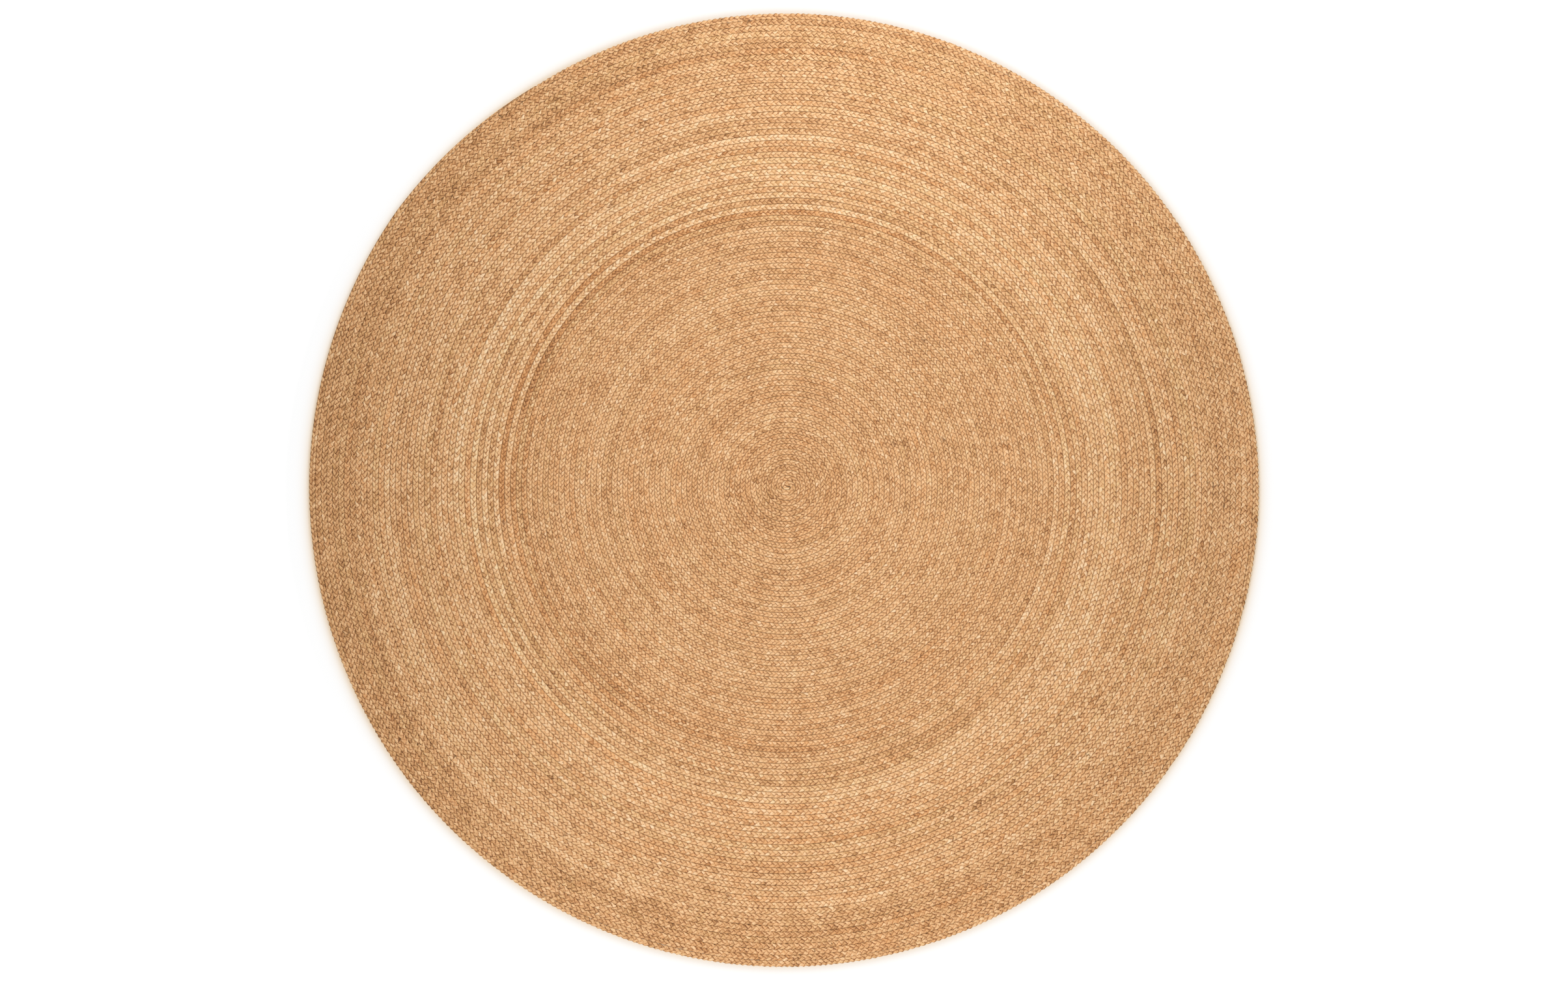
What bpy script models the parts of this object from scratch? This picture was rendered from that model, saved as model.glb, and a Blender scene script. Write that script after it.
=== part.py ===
"""A round braided jute rug: one spiral of flat plait, sewn turn to turn.

The spiral grows outward clockwise as seen from above. The plait comes in equal lengths, joined end to end.
Each length is one solid, the outer shape of its sewn turns, a ring whose two walls follow the spiral's seam.
The sewing thread lies in the groove between two lengths, and whip stitches cross every joint.
Units are metres, +Z is up, and the origin is the middle of the underside.
"""
from math import cos, floor, pi, radians, sin

import bmesh
import bpy
from mathutils import Matrix, Vector

# The plait and its turns
INNER_BRAID_WIDTH = 0.0112  # plait in the middle of the rug
OUTER_BRAID_WIDTH = 0.0121  # wider plait outside it
INNER_TURNS = 51
OUTER_TURNS = 35
THICKNESS = 0.008
LENGTH_COUNT = 16  # lengths of plait joined end to end

# The spiral's tail on the rim
TAIL_ANGLE = radians(122)
TAIL_TAPER_TURNS = 0.0625
TAIL_TIP = 0.001

# Seams and thread
CLEARANCE = 0.0003  # between pieces that touch
SEAM_LEAN = 0.0014  # how far each side wall leans back at the top, which makes the seam's groove
THREAD_DIAMETER = 0.0011
THREAD_DEPTH = 0.002  # of the thread's middle under the top of the rug
THREAD_SETBACK = 0.1  # share of one step that the thread stays short of each joint

# Whip stitches over a joint
STITCHES_LENGTH = 0.016
STITCHES_WIDTH = 0.006
STITCHES_HEIGHT = 0.0008

STEPS = 72  # steps in one turn of the spiral
LENGTH_SEARCH_STEPS = 60

JUTE = (0.63, 0.36, 0.16)
JUTE_SHADE = 0.035  # how much darker every other length is
THREAD_COLOUR = (0.42, 0.22, 0.08)
FIBRE_ROUGHNESS = 0.8

TURNS = INNER_TURNS + OUTER_TURNS


def clear_scene():
    for thing in list(bpy.data.objects):
        bpy.data.objects.remove(thing, do_unlink=True)


def seam_radius(turns):
    """The radius of the seam on the plait's inner side, so many turns from the centre."""
    inner = min(turns, INNER_TURNS)
    return inner * INNER_BRAID_WIDTH + (turns - inner) * OUTER_BRAID_WIDTH


def rim_radius(turns):
    """The last seam is the rim. It falls back to the turn inside over the tapered tail."""
    taper_start = TURNS + 1 - TAIL_TAPER_TURNS
    if turns <= taper_start:
        return seam_radius(turns)
    share = (turns - taper_start) / TAIL_TAPER_TURNS
    return seam_radius(taper_start) * (1 - share) + (seam_radius(TURNS) + TAIL_TIP) * share


def on_rug(radius, turns, z=0.0, along=0.0):
    """A point at this radius and turn, shifted along the spiral by a distance."""
    angle = TAIL_ANGLE - 2 * pi * turns - along / max(radius, CLEARANCE)
    return Vector((radius * cos(angle), radius * sin(angle), z))


def braid_length_to(turns):
    """The plait's length from the centre, along its middle."""
    inner = min(turns, INNER_TURNS)
    outer = turns - inner
    inner_mean = seam_radius(inner) / 2 + INNER_BRAID_WIDTH / 2
    outer_mean = (seam_radius(inner) + seam_radius(turns)) / 2 + OUTER_BRAID_WIDTH / 2
    return 2 * pi * (inner * inner_mean + outer * outer_mean)


def joint_turns():
    """Where each length starts, on a whole step of the spiral, and where the last one ends."""
    share = braid_length_to(TURNS) / LENGTH_COUNT
    starts = []
    for number in range(LENGTH_COUNT + 1):
        low, high = 0.0, float(TURNS)
        for _ in range(LENGTH_SEARCH_STEPS):
            middle = (low + high) / 2
            if braid_length_to(middle) < number * share:
                low = middle
            else:
                high = middle
        starts.append(floor(high * STEPS + 0.5) / STEPS)
    return starts


def seam_loop(start, side, radius_at=seam_radius):
    """One turn of a seam from a joint, as the points at each step of the circle.

    side is +1 for a wall outside the seam and -1 for one inside it. The spiral has grown by one plait when
    it is back at the joint, so that step has two points: the shared one, and the far end of the plait's cut face.
    """
    first = round(start * STEPS)
    offset = side * CLEARANCE / 2
    points = {}
    for step in range(1, STEPS):
        turns = (first + step) / STEPS
        points[(first + step) % STEPS] = on_rug(radius_at(turns) + offset, turns)
    low = radius_at(start) + offset
    high = radius_at(start + 1) + offset
    if side > 0:
        shared, far = on_rug(high, start), on_rug(low, start, along=CLEARANCE)
    else:
        shared, far = on_rug(low, start), on_rug(high, start, along=-CLEARANCE)
    points[first % STEPS] = shared
    return points, first % STEPS, far


def fibre_material(name, colour):
    material = bpy.data.materials.new(name)
    material.use_nodes = True
    shader = material.node_tree.nodes["Principled BSDF"]
    shader.inputs["Base Color"].default_value = (*colour, 1)
    shader.inputs["Roughness"].default_value = FIBRE_ROUGHNESS
    shader.inputs["Metallic"].default_value = 0.0
    material.diffuse_color = (*colour, 1)
    return material


def add_object(name, mesh, colour):
    thing = bpy.data.objects.new(name, mesh)
    bpy.context.scene.collection.objects.link(thing)
    thing.data.materials.append(fibre_material(name, colour))
    return thing


def braid_length(number, start, end):
    """The sewn turns of one length of plait, between the seam at its start and the seam at its end."""
    bm = bmesh.new()
    last = number == LENGTH_COUNT
    outer_points, outer_joint, outer_far = seam_loop(end, -1, rim_radius if last else seam_radius)
    outer = {step: bm.verts.new(point) for step, point in outer_points.items()}
    outer_end = bm.verts.new(outer_far)
    outside = [*outer.values(), outer_end]
    inside = []
    if number == 1:
        middle = bm.verts.new((0, 0, 0))
    else:
        inner_points, inner_joint, inner_far = seam_loop(start, +1)
        inner = {step: bm.verts.new(point) for step, point in inner_points.items()}
        inner_start = bm.verts.new(inner_far)
        inside = [*inner.values(), inner_start]
    for step in range(STEPS):
        following = (step + 1) % STEPS
        if number == 1:
            corners = [middle]
        else:
            corners = [inner[step]]
            if step == inner_joint:
                corners.append(inner_start)
            corners.append(inner[following])
        corners.append(outer[following])
        if following == outer_joint:
            corners.append(outer_end)
        corners.append(outer[step])
        bm.faces.new(corners)
    lean = {}
    for vertex in inside:
        lean[vertex.co.to_tuple(6)] = SEAM_LEAN
    for vertex in outside:
        lean[vertex.co.to_tuple(6)] = -SEAM_LEAN
    raised = bmesh.ops.extrude_face_region(bm, geom=bm.faces[:])
    for vertex in raised["geom"]:
        if isinstance(vertex, bmesh.types.BMVert):
            away = lean.get(vertex.co.to_tuple(6), 0.0)
            vertex.co += vertex.co.normalized() * away + Vector((0, 0, THICKNESS))
    bmesh.ops.recalc_face_normals(bm, faces=bm.faces)
    mesh = bpy.data.meshes.new(f"braid_length_{number:02d}")
    bm.to_mesh(mesh)
    bm.free()
    mesh.shade_smooth()
    mesh.set_sharp_from_angle(angle=radians(30))
    shade = JUTE_SHADE * (number % 2)
    return add_object(mesh.name, mesh, tuple(part * (1 - shade) for part in JUTE))


def seam_thread(number, start):
    """The sewing thread in the groove between one length and the next, one turn of the spiral."""
    z = THICKNESS - THREAD_DEPTH
    first = round(start * STEPS)
    steps = [(first + step) / STEPS for step in range(STEPS + 1)]
    points = [on_rug(seam_radius(turns), turns, z) for turns in steps]
    points[0] = points[0].lerp(points[1], THREAD_SETBACK)
    points[-1] = points[-1].lerp(points[-2], THREAD_SETBACK)
    curve = bpy.data.curves.new(f"seam_thread_{number:02d}", "CURVE")
    curve.dimensions = "3D"
    curve.bevel_depth = THREAD_DIAMETER / 2
    curve.bevel_resolution = 0
    curve.use_fill_caps = True
    spline = curve.splines.new("POLY")
    spline.points.add(len(points) - 1)
    for slot, point in zip(spline.points, points):
        slot.co = (*point, 1)
    return add_object(curve.name, curve, THREAD_COLOUR)


def whip_stitches(name, turns, radius):
    """The hand stitches over a joint, as the flat patch that they cover."""
    bm = bmesh.new()
    bmesh.ops.create_cube(bm, size=1)
    bmesh.ops.scale(bm, vec=(STITCHES_LENGTH, STITCHES_WIDTH, STITCHES_HEIGHT), verts=bm.verts)
    z = THICKNESS + CLEARANCE + STITCHES_HEIGHT / 2
    turn = Matrix.Rotation(TAIL_ANGLE - 2 * pi * turns + pi / 2, 4, "Z")
    bmesh.ops.transform(bm, matrix=Matrix.Translation(on_rug(radius, turns, z)) @ turn, verts=bm.verts)
    mesh = bpy.data.meshes.new(name)
    bm.to_mesh(mesh)
    bm.free()
    return add_object(name, mesh, THREAD_COLOUR)


def centre_on_origin(things):
    """Moves every piece so that the middle of the rug's underside is the origin."""
    bpy.context.view_layer.update()
    corners = [thing.matrix_world @ Vector(corner) for thing in things for corner in thing.bound_box]
    low = Vector(min(corner[axis] for corner in corners) for axis in range(3))
    high = Vector(max(corner[axis] for corner in corners) for axis in range(3))
    middle = (low + high) / 2
    for thing in things:
        thing.location = (-middle.x, -middle.y, 0)


def build():
    clear_scene()
    starts = joint_turns()
    things = []
    for number in range(1, LENGTH_COUNT + 1):
        things.append(braid_length(number, starts[number - 1], starts[number]))
    for number in range(1, LENGTH_COUNT):
        joint = starts[number]
        middle = (seam_radius(joint) + seam_radius(joint + 1)) / 2
        things.append(seam_thread(number, joint))
        things.append(whip_stitches(f"joint_stitches_{number:02d}", joint, middle))
    tail_middle = (seam_radius(TURNS - 1) + seam_radius(TURNS)) / 2
    things.append(whip_stitches("tail_stitches", TURNS, tail_middle))
    centre_on_origin(things)


build()
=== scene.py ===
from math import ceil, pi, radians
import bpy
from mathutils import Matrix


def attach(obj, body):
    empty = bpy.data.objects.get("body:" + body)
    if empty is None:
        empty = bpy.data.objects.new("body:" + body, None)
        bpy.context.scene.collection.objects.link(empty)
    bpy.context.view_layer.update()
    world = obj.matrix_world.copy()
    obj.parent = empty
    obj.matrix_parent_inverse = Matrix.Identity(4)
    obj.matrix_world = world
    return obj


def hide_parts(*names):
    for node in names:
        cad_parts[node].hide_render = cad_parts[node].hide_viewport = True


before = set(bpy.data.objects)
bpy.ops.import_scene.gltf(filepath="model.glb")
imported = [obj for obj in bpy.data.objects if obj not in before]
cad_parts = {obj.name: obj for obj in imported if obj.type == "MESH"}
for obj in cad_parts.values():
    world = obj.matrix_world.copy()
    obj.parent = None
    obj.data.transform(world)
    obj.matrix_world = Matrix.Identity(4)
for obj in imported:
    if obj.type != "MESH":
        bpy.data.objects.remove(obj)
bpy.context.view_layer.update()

# %% [markdown]
# # A round braided jute rug
# The rug is one long three-strand plait of jute, wound flat from the middle outwards and sewn to itself along
# every seam. Sixteen lengths of plait follow one another, and each joint is held by a few hand stitches.
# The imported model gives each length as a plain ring. This file lays a real plait where each ring is: every lobe
# of the plait is modelled, because the lobes, and not a pattern, are what the eye and the light find on a rug.

# %% Tools
from types import SimpleNamespace

import bmesh
import bpy
import numpy as np
from mathutils import Vector

random_source = np.random.default_rng(16)

# %% [markdown]
# ## The spiral
# A plait as wide as w that lies against itself winds outwards by w in every turn, which is an Archimedean
# spiral. Its place is counted in turns from the centre: the plait at turn t lies between the seam at t and the
# seam at t + 1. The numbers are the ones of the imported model, so each piece lands where its ring is.

# %% The seams of the spiral
INNER_BRAID_WIDTH = 0.0112
OUTER_BRAID_WIDTH = 0.0121
INNER_TURNS = 51
OUTER_TURNS = 35
TURNS = INNER_TURNS + OUTER_TURNS
LENGTH_COUNT = 16
STEPS = 72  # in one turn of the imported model
TAIL_ANGLE = radians(122)
TAIL_TAPER_TURNS = 0.0625
TAIL_TIP = 0.001


def seam_radius(turns):
    """The radius of the seam on the plait's inner side, so many turns from the centre."""
    inner = np.clip(turns, 0.0, INNER_TURNS)
    return inner * INNER_BRAID_WIDTH + np.maximum(turns - INNER_TURNS, 0) * OUTER_BRAID_WIDTH


def rim_radius(turns):
    """The last seam is the rim, which falls back to the turn inside over the tapered tail."""
    taper_start = TURNS + 1 - TAIL_TAPER_TURNS
    share = np.clip((turns - taper_start) / TAIL_TAPER_TURNS, 0, 1)
    tip = seam_radius(np.maximum(turns - 1, TURNS)) + TAIL_TIP
    return seam_radius(np.minimum(turns, taper_start)) * (1 - share) + tip * share


def plait_angle(turns):
    """The direction from the centre. The plait winds outwards clockwise, as seen from above."""
    return TAIL_ANGLE - 2 * pi * turns


print("the plait gets wider at radius", seam_radius(INNER_TURNS), "and ends at", round(seam_radius(TURNS + 1), 4))

# %% [markdown]
# ## Sixteen lengths
# A plait is made from bundles of jute as long as a person can handle, so a big rug has many joints. Here the
# lengths are equal. Each joint is put on a whole step of the spiral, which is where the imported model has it.

# %% Where one length ends and the next starts
def plait_length_to(turns):
    """The plait's length from the centre, along its middle."""
    inner = min(turns, INNER_TURNS)
    outer = turns - inner
    inner_mean = seam_radius(inner) / 2 + INNER_BRAID_WIDTH / 2
    outer_mean = (seam_radius(inner) + seam_radius(turns)) / 2 + OUTER_BRAID_WIDTH / 2
    return 2 * pi * (inner * inner_mean + outer * outer_mean)


step_turns = np.arange(TURNS * STEPS + 1) / STEPS
step_lengths = np.array([plait_length_to(turns) for turns in step_turns])
joint_lengths = np.linspace(0, step_lengths[-1], LENGTH_COUNT + 1)
joint_turns = np.round(np.interp(joint_lengths, step_lengths, step_turns) * STEPS) / STEPS
print("plait:", round(step_lengths[-1], 1), "m; joints after turns", joint_turns[1:-1].round(2))

# %% [markdown]
# ## Chevrons
# One chevron is a lobe of the plait on its inner side and one on its outer side. The plait is wider outside, and
# its chevrons are longer there. They are counted along the spiral as if it were perfectly round, so that every
# piece agrees on which chevron is where. A fine table of turns is the measure for this and for lengths.

# %% Count the chevrons
PITCH_RADII = (0.0, 0.57, 0.64, 0.86, 0.91)
PITCHES = (0.0093, 0.0095, 0.0111, 0.0112, 0.0118)  # the length of a chevron at these radii
START_TURNS = -0.97  # the folded end fills the middle
END_TURNS = TURNS + 1.1  # a little past the tail, for the seam outside it
FINE_STEPS = 240  # in one turn

fine_turns = np.linspace(START_TURNS, END_TURNS, FINE_STEPS * (TURNS + 2))
fine_radii = (seam_radius(fine_turns) + seam_radius(fine_turns + 1)) / 2
fine_pitch = np.interp(fine_radii, PITCH_RADII, PITCHES)
fine_chevrons = np.cumsum(2 * pi * fine_radii * np.gradient(fine_turns) / fine_pitch)
print("chevrons in the whole rug:", int(np.interp(TURNS, fine_turns, fine_chevrons)))

# %% [markdown]
# ## Hand-made, not drawn with a compass
# On the real rug the seams waver by a fraction of a millimetre. They are also scalloped: the lobes of two
# neighbouring turns reach in between one another, a tenth of a millimetre in the middle of the rug and more
# than a millimetre near the rim, where the plait is looser. Both turns share the seam, so they still fit.

# %% Waver and scallops of a seam
SEAM_WAVER = 0.00028
WAVER_KNOTS = 26  # in one turn
START_RADIUS = 0.0001
SCALLOP_RADII = (0.2, 0.82, 0.89)
SCALLOPS = (0.0001, 0.0002, 0.0012)
CALM_START_TURNS = 3  # the first turns waver less
CALM_TAIL_TURNS = 0.9  # no waver from here on, past the last whole turn
CALM_TAIL_RATE = 8

waver_values = random_source.normal(0, SEAM_WAVER, (TURNS + 3) * WAVER_KNOTS)


def seam_line(turns):
    """The seam's radius with its waver and scallops. Both die out at the centre and at the rim's tail."""
    place = (turns + 1) * WAVER_KNOTS
    waver = np.interp(place, np.arange(len(waver_values)), waver_values)
    radius = np.maximum(rim_radius(turns), START_RADIUS)
    chevrons = np.interp(turns, fine_turns, fine_chevrons)
    scallop = np.interp(radius, SCALLOP_RADII, SCALLOPS) * np.cos(2 * pi * chevrons)
    from_start = np.clip(turns / CALM_START_TURNS, 0, 1)
    from_tail = np.clip((TURNS + CALM_TAIL_TURNS - turns) * CALM_TAIL_RATE, 0, 1)
    return radius + (waver + scallop) * from_start * from_tail


print("the outermost seam, at four places:", seam_line(TURNS + np.arange(4) / 5).round(4))

# %% [markdown]
# ## The shape of the whole rug
# The first turn is folded back on itself, the outline is a little taller than wide, and the centre sits slightly
# off the middle. One function says where any point of the plait lies, so the plait, its thread and its stitches
# all bend the same way and still fit.

# %% Where a point of the plait lies
FOLD_LENGTH = 0.006  # of the first, folded stretch of plait
FOLD_REACH = 0.045  # the turns are round again this far out
FOLD_ANGLE = radians(-12)
FOLD_SHARPNESS = 3
OUTLINE_SCALE = (0.9962, 1.0027)
CENTRE_DRIFT = (0.0035, 0.0045)

rim_steps = TURNS + np.arange(STEPS + 1) / STEPS
rim_angles = plait_angle(rim_steps)
rim_points = rim_radius(rim_steps)[:, None] * np.stack([np.cos(rim_angles), np.sin(rim_angles)], 1)
middle_of_rim = (rim_points.max(0) + rim_points.min(0)) / 2


def plait_place(turns, reach):
    """x and y of a point of the plait. reach is -1 at its inner seam, 0 in its middle and 1 at its outer seam."""
    inner, outer = seam_line(turns), seam_line(turns + 1)
    radius = inner + (reach + 1) / 2 * (outer - inner)
    angle = plait_angle(turns)
    folded = np.tanh(FOLD_SHARPNESS * np.cos(angle - FOLD_ANGLE))
    fold = FOLD_LENGTH / 2 * np.exp(-((radius / FOLD_REACH) ** 2)) * folded
    x = radius * np.cos(angle) + fold * np.cos(FOLD_ANGLE) - middle_of_rim[0]
    y = radius * np.sin(angle) + fold * np.sin(FOLD_ANGLE) - middle_of_rim[1]
    share = radius / seam_radius(TURNS)
    x = x * (1 + (OUTLINE_SCALE[0] - 1) * share) + CENTRE_DRIFT[0] * (1 - share)
    y = y * (1 + (OUTLINE_SCALE[1] - 1) * share) + CENTRE_DRIFT[1] * (1 - share)
    return x, y


middle_x, middle_y = plait_place(fine_turns, 0.0)
fine_lengths = np.concatenate([[0], np.cumsum(np.hypot(np.diff(middle_x), np.diff(middle_y)))])


def length_at(turns):
    """How far along the middle of the laid plait this is, in metres."""
    return np.interp(turns, fine_turns, fine_lengths)


def turns_at(lengths):
    """The turns at a length along the middle of the laid plait."""
    return np.interp(lengths, fine_lengths, fine_turns)


print("along the middle of the laid plait:", round(length_at(TURNS), 1), "m")

# %% [markdown]
# ## The lay of the rug on the floor
# A rug this soft never lies dead flat. It stands a millimetre or two off the floor in long, low swells, which
# is what gives the real one its slow change from lighter to darker. A sum of a few wide waves does this.

# %% Low swells
SWELL_HEIGHT = 0.0022
SWELL_WAVES = 6
STEEPEST_WAVE = 9  # radians in a metre

swell_waves = random_source.uniform(-1, 1, (SWELL_WAVES, 2)) * STEEPEST_WAVE
swell_starts = random_source.uniform(0, 2 * pi, SWELL_WAVES)


def swell(x, y):
    """How far the rug stands off the floor."""
    total = sum(np.sin(a * x + b * y + start) for (a, b), start in zip(swell_waves, swell_starts))
    return SWELL_HEIGHT * (0.5 + total / (2 * SWELL_WAVES))


middle_swell = swell(middle_x, middle_y)
print("the rug stands", middle_swell.min().round(5), "to", middle_swell.max().round(5), "m off the floor")

# %% [markdown]
# ## One chevron of plait
# Seen from above, a three-strand plait is two rows of lobes that lean towards each other like the barbs of a
# feather. Each lobe comes in from a seam, crosses the middle in a blunt tip, and dives under the next lobe of
# the other row. So four steps along the plait make one chevron: a crease, a low flank, a ridge and a high flank.
# The other row is half a chevron behind, and the middle line runs in a zigzag between the tips.

# %% Heights across and along one chevron
STEPS_PER_CHEVRON = 4
HALF_CHEVRON = STEPS_PER_CHEVRON // 2
ZIGZAG = 0.36  # of half the plait's width
LOBE_SLANT = radians(46)  # between a lobe and the plait's run, on the whole
LOBE_CURVE = 0.65  # a lobe is steeper in the middle and swings round into the seam
CREASE_DEPTH = 0.0019
LOBE_RELIEF = np.array((-1.0, -0.34, 0.16, -0.12))  # crease, low flank, ridge, high flank, in crease depths
TIP_DROP = 0.0021  # of a lobe's tip where it goes under
NOTCH = 0.02  # of half the width, at a crease's end in the seam
# Once round the plait: bottom, inner seam, inner shoulder, inner row, middle, outer row, outer shoulder, outer
# seam, bottom, and the start again
ROW_REACH = (-0.55, -1.0, -0.92, -0.50, 0.0, 0.50, 0.92, 1.0, 0.55, -0.55)
ROW_HEIGHT = (0.0002, 0.0056, 0.0076, 0.0082, 0.0078, 0.0082, 0.0076, 0.0056, 0.0002, 0.0002)
ROW_RELIEF = (0.0, 0.10, 0.42, 1.0, 0.0, 1.0, 0.42, 0.10, 0.0, 0.0)
ROWS = len(ROW_REACH)
SEAM_ROWS = (1, 7)
SHOULDER_ROWS = (2, 6)
LOBE_ROWS = (3, 5)
MIDDLE_ROW = 4
print("points round the plait:", ROWS - 1, "and along one chevron:", STEPS_PER_CHEVRON)

# %% [markdown]
# ## No two lobes alike
# A plaiter's hands pull a little harder here and a little less there. Some of this changes from lobe to lobe,
# and some of it slowly, over many lobes, so there are plain random numbers and a smooth kind.

# %% How much the lobes differ
STEP_SHIFT = 0.27  # of a step, along the plait
DEPTH_RUN = 60.0  # steps over which the creases get deeper or less deep
DEPTH_DRIFT = 0.16
DEPTH_SCATTER = 0.22
LOBE_LIFT = 0.00024
LOBE_REACH_SCATTER = 0.06
ZIGZAG_SCATTER = 0.035
SLANT_RUN = 7.0
SLANT_SCATTER = 0.16


def slow_noise(places, spacing, spread):
    """Random values that change smoothly along the plait, about once in each spacing."""
    knots = random_source.normal(0, spread, int(places.max() / spacing) + 3)
    scaled = (places - places.min()) / spacing
    below = scaled.astype(int)
    part = scaled - below
    part = part * part * (3 - 2 * part)
    return knots[below] * (1 - part) + knots[below + 1] * part


def lobe_steps(columns):
    """Which of a chevron's steps each column is at, in the outer row and in the inner row."""
    return columns % STEPS_PER_CHEVRON, (columns + HALF_CHEVRON) % STEPS_PER_CHEVRON


def plait_columns(start, end):
    """The columns of one length and how far along the plait each lies. Its two ends stay where they belong."""
    first, last = np.interp([start, end], fine_turns, fine_chevrons)
    chevrons = max(1, round(last - first))
    columns = np.arange(chevrons * STEPS_PER_CHEVRON + 1)
    places = first + (last - first) * columns / columns[-1]
    lengths = np.interp(places, fine_chevrons, fine_lengths)
    shift = random_source.normal(0, STEP_SHIFT, len(columns)) * np.gradient(lengths)
    shift[:2] = shift[-2:] = 0
    return columns, lengths + shift


def lobe_shapes(columns):
    """How far out and how high each point is, for a straight plait of even width: columns by rows."""
    reach = np.tile(np.array(ROW_REACH), (len(columns), 1))
    height = np.tile(np.array(ROW_HEIGHT), (len(columns), 1))
    drift = slow_noise(columns, DEPTH_RUN, DEPTH_DRIFT)
    depth = CREASE_DEPTH * (1 + drift + random_source.normal(0, DEPTH_SCATTER, len(columns)))
    chevrons = len(columns) // STEPS_PER_CHEVRON
    lobe_lift = random_source.normal(0, LOBE_LIFT, (chevrons + 2, 2)).repeat(STEPS_PER_CHEVRON, axis=0)
    outer_step, inner_step = lobe_steps(columns)
    outer_lift = lobe_lift[columns, 0]
    inner_lift = lobe_lift[columns + HALF_CHEVRON, 1]
    for row in range(ROWS):
        step, lift = (outer_step, outer_lift) if ROW_REACH[row] > 0 else (inner_step, inner_lift)
        height[:, row] += ROW_RELIEF[row] * (depth * LOBE_RELIEF[step] + lift * (step != 0))
        if row in SEAM_ROWS:
            reach[:, row] *= 1 - NOTCH * (step == 0) - NOTCH / 3 * (step % 2)
    reach[:, LOBE_ROWS] += random_source.normal(0, LOBE_REACH_SCATTER, (len(columns), 2))
    zigzag = ZIGZAG * (1.0 * (outer_step == 0) - 1.0 * (inner_step == 0))
    reach[:, MIDDLE_ROW] = zigzag + random_source.normal(0, ZIGZAG_SCATTER, len(columns))
    height[:, MIDDLE_ROW] -= TIP_DROP * (columns % 2 == 0)
    return reach, height


# %% [markdown]
# ## Bend the plait into the rug
# The straight plait is now fitted to its place. Its shoulders stand higher near the rim, where the plait is
# looser and the seams are less deep. It is thinner where it is pressed narrow, and bound down at a joint. Then
# its lobes are slanted, and the whole length is wound along the spiral and laid on the swells.

# %% Where the points of one length of plait lie
SEAM_RADII = (0.0, 0.76, 0.88)
SEAM_DEPTHS = (1.0, 0.9, 0.12)
SEAM_GAPS = (0.00016, 0.00014, 0.00003)  # on each side of a seam
PRESSED_TURNS = 0.8  # up to here the folded start is pressed shut, and its turns overlap
PRESSED_HEIGHT = 0.35  # what a plait of no width at all would keep of its height
LEAST_HEIGHT = 0.4
LEAST_WIDTH = 0.001
JOINT_HEIGHTS = (0.72, 0.93)  # of the end of a length, and of the step before it


def fitted_height(height, columns, radius, width):
    """The heights of one length, fitted to its place on the rug."""
    top = ROW_HEIGHT[MIDDLE_ROW]
    shoulder_depth = np.interp(radius, SEAM_RADII, SEAM_DEPTHS)
    height[:, SHOULDER_ROWS] = top - (top - height[:, SHOULDER_ROWS]) * shoulder_depth
    height *= np.clip(PRESSED_HEIGHT + width / INNER_BRAID_WIDTH, LEAST_HEIGHT, 1)
    from_end = np.minimum(columns, columns[-1] - columns)[:, None]
    return height * np.where(from_end == 0, JOINT_HEIGHTS[0], np.where(from_end == 1, JOINT_HEIGHTS[1], 1.0))


def plait_points(start, end):
    """x, y and z of every point of one length, as arrays of columns by rows, and the turns of each column."""
    columns, lengths = plait_columns(start, end)
    reach, height = lobe_shapes(columns)
    lengths = lengths[:, None]
    turns = turns_at(lengths)
    radius = seam_radius(turns)
    width = seam_line(turns + 1) - seam_line(turns)
    height = fitted_height(height, columns, radius, width)

    out = np.maximum(np.abs(reach), ZIGZAG)
    slant = (LOBE_CURVE * out ** 2 + (1 - LOBE_CURVE) * out) * width / 2 / np.tan(LOBE_SLANT)
    slant *= 1 + slow_noise(columns, SLANT_RUN, SLANT_SCATTER)[:, None]
    gap = np.interp(radius, SEAM_RADII, SEAM_GAPS) * np.where(turns < PRESSED_TURNS, -1, 1)
    reach = reach * (1 - gap / np.maximum(width, LEAST_WIDTH))
    x, y = plait_place(turns_at(lengths + slant), reach)
    return np.stack([x, y, height + swell(x, y)], 2), turns[:, 0]


# %% [markdown]
# ## The colour of the strands
# Jute is sold in bundles, and no two are quite the same colour: cream, tan, orange, a little olive. A plait
# takes three strands at a time, so one strand's colour comes back in every third lobe, and a new bundle changes
# it a metre or so further on. Each lobe gets two numbers for this, which its faces carry: how light it is, and
# how orange. The material turns them into a colour.

# %% Lightness and warmth of every lobe
LOBE_LIGHT = 0.068
LOBE_WARMTH = 0.12
BUNDLE_LIGHT = (420.0, 0.026)  # the number of lobes over which it changes, and by how much
BUNDLE_WARMTH = (240.0, 0.15)
STRAND_LIGHT = (75.0, 0.035)
STRAND_WARMTH = (90.0, 0.15)
LIVELY_TURNS = (44, 48, 70, 76)
LIVELINESS = (0.8, 1.6, 1.6, 1.0)  # bundles and strands differ more in the middle zone
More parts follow.
